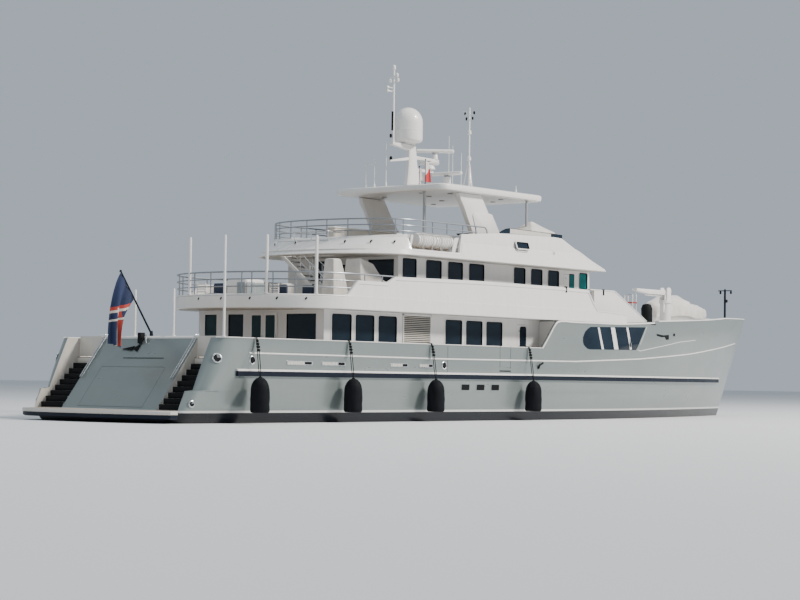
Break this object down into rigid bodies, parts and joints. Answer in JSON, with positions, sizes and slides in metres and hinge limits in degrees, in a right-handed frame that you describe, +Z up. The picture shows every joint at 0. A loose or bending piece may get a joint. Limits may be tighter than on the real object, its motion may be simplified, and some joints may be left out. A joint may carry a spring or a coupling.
{
  "type": "motor yacht, 1:2 scale model",
  "caption": "Three-deck displacement motor yacht, 1:2 scale: steel hull with raised bow, swim platform, glazed deckhouses, hardtop, radar mast, tender crane, propellers and rudders.",
  "frame": {"origin": "on the load waterline, on the centreline, midships", "axes": "+X towards the bow, +Y to port, +Z up"},
  "size_m": [26.5, 5.2736, 9.76],
  "materials": {
    "hull_paint": "metallic grey-green, glossy",
    "white_paint": "warm white gloss",
    "teak": "bare planking",
    "dark_glass": "dark tinted, glossy",
    "steel": "polished",
    "navy_paint": "dark navy gloss",
    "ensign_cloth": "woven cloth",
    "fender_black": "matt",
    "cover_canvas": "canvas cover",
    "bronze": "polished bronze"
  },
  "bodies": {
    "root": {"hull": "hull_paint", "swim_platform": "teak", "stern_bulwark": "hull_paint", "bulwark_starboard": "hull_paint", "bulwark_port": "hull_paint", "forecastle": "hull_paint", "rubbing_strake_starboard": "navy_paint", "rubbing_strake_port": "navy_paint", "main_deck": "teak", "main_house": "white_paint", "main_glazing": "dark_glass", "upper_deck": "white_paint", "upper_bulwark": "white_paint", "upper_rail": "steel", "upper_house": "white_paint", "upper_glazing": "dark_glass", "breast_wall": "white_paint", "sun_deck": "white_paint", "sun_coaming": "white_paint", "sun_rail": "steel", "hardtop": "white_paint", "hardtop_leg_starboard": "white_paint", "hardtop_leg_port": "white_paint", "mast": "white_paint", "radome": "white_paint", "instrument_mast": "white_paint", "deck_stair": "steel", "flagstaff": "navy_paint", "ensign": "ensign_cloth", "fender_1": "fender_black", "fender_2": "fender_black", "fender_3": "fender_black", "fender_4": "fender_black", "liferafts_starboard": "white_paint", "liferafts_port": "white_paint", "helm_console": "white_paint", "tender": "cover_canvas", "foremast": "navy_paint", "windlass": "steel"},
    "transom_door": {"transom_door": "hull_paint"},
    "bulwark_gate_starboard": {"bulwark_gate_starboard": "hull_paint"},
    "bulwark_gate_port": {"bulwark_gate_port": "hull_paint"},
    "saloon_door_starboard": {"saloon_door_starboard": "dark_glass"},
    "saloon_door_port": {"saloon_door_port": "dark_glass"},
    "side_door_starboard": {"side_door_starboard": "white_paint"},
    "side_door_port": {"side_door_port": "white_paint"},
    "lounge_door": {"lounge_door": "dark_glass"},
    "wheelhouse_door_starboard": {"wheelhouse_door_starboard": "white_paint"},
    "wheelhouse_door_port": {"wheelhouse_door_port": "white_paint"},
    "radar_upper": {"radar_upper": "white_paint"},
    "radar_middle": {"radar_middle": "white_paint"},
    "radar_lower": {"radar_lower": "white_paint"},
    "crane_column": {"crane_column": "white_paint"},
    "crane_boom": {"crane_boom": "white_paint"},
    "propeller_starboard": {"propeller_starboard": "bronze"},
    "propeller_port": {"propeller_port": "bronze"},
    "rudder_starboard": {"rudder_starboard": "steel"},
    "rudder_port": {"rudder_port": "steel"}
  },
  "joints": [
    {"name": "transom_door_hinge", "type": "hinge", "parent": "root", "child": "transom_door", "pos_m": [-11.84224, 0, 1.09994], "axis": [0, 1, 0], "range_deg": [0, 50]},
    {"name": "bulwark_gate_starboard_hinge", "type": "hinge", "parent": "root", "child": "bulwark_gate_starboard", "pos_m": [-2.001, -2.32, 1.45], "axis": [0, 0, -1], "range_deg": [0, 90]},
    {"name": "bulwark_gate_port_hinge", "type": "hinge", "parent": "root", "child": "bulwark_gate_port", "pos_m": [-2.001, 2.32, 1.45], "axis": [0, 0, 1], "range_deg": [0, 90]},
    {"name": "saloon_door_starboard_slide", "type": "slide", "parent": "root", "child": "saloon_door_starboard", "axis": [0, -1, 0], "range_m": [0, 0.4]},
    {"name": "saloon_door_port_slide", "type": "slide", "parent": "root", "child": "saloon_door_port", "axis": [0, 1, 0], "range_m": [0, 0.4]},
    {"name": "side_door_starboard_hinge", "type": "hinge", "parent": "root", "child": "side_door_starboard", "pos_m": [-0.969, -1.84, 1.75], "axis": [0, 0, -1], "range_deg": [0, 90]},
    {"name": "side_door_port_hinge", "type": "hinge", "parent": "root", "child": "side_door_port", "pos_m": [-0.969, 1.84, 1.75], "axis": [0, 0, 1], "range_deg": [0, 90]},
    {"name": "lounge_door_slide", "type": "slide", "parent": "root", "child": "lounge_door", "axis": [0, -1, 0], "range_m": [0, 0.65]},
    {"name": "wheelhouse_door_starboard_hinge", "type": "hinge", "parent": "root", "child": "wheelhouse_door_starboard", "pos_m": [1.291, -1.64, 3.05], "axis": [0, 0, -1], "range_deg": [0, 90]},
    {"name": "wheelhouse_door_port_hinge", "type": "hinge", "parent": "root", "child": "wheelhouse_door_port", "pos_m": [1.291, 1.64, 3.05], "axis": [0, 0, 1], "range_deg": [0, 90]},
    {"name": "radar_upper_spin", "type": "hinge", "parent": "root", "child": "radar_upper", "pos_m": [-1.88, 0, 6.38], "axis": [0, 0, 1], "continuous": true},
    {"name": "radar_middle_spin", "type": "hinge", "parent": "root", "child": "radar_middle", "pos_m": [-2.1, 0, 6.07], "axis": [0, 0, 1], "continuous": true},
    {"name": "radar_lower_spin", "type": "hinge", "parent": "root", "child": "radar_lower", "pos_m": [-1.39, 0, 5.875], "axis": [0, 0, 1], "continuous": true},
    {"name": "crane_slew", "type": "hinge", "parent": "root", "child": "crane_column", "pos_m": [6.9, -1.15, 2.75], "axis": [0, 0, 1], "range_deg": [-170, 170]},
    {"name": "crane_luff", "type": "hinge", "parent": "crane_column", "child": "crane_boom", "pos_m": [6.9, -1.15, 3.36], "axis": [0, 1, 0], "range_deg": [0, 60]},
    {"name": "propeller_starboard_spin", "type": "hinge", "parent": "root", "child": "propeller_starboard", "pos_m": [-9.85, -0.825, -0.975], "axis": [1, 0, 0], "continuous": true},
    {"name": "propeller_port_spin", "type": "hinge", "parent": "root", "child": "propeller_port", "pos_m": [-9.85, 0.825, -0.975], "axis": [1, 0, 0], "continuous": true},
    {"name": "rudder_starboard_turn", "type": "hinge", "parent": "root", "child": "rudder_starboard", "pos_m": [-10.65, -0.825, -0.2], "axis": [0, 0, 1], "range_deg": [-35, 35]},
    {"name": "rudder_port_turn", "type": "hinge", "parent": "root", "child": "rudder_port", "pos_m": [-10.65, 0.825, -0.2], "axis": [0, 0, 1], "range_deg": [-35, 35]}
  ]
}
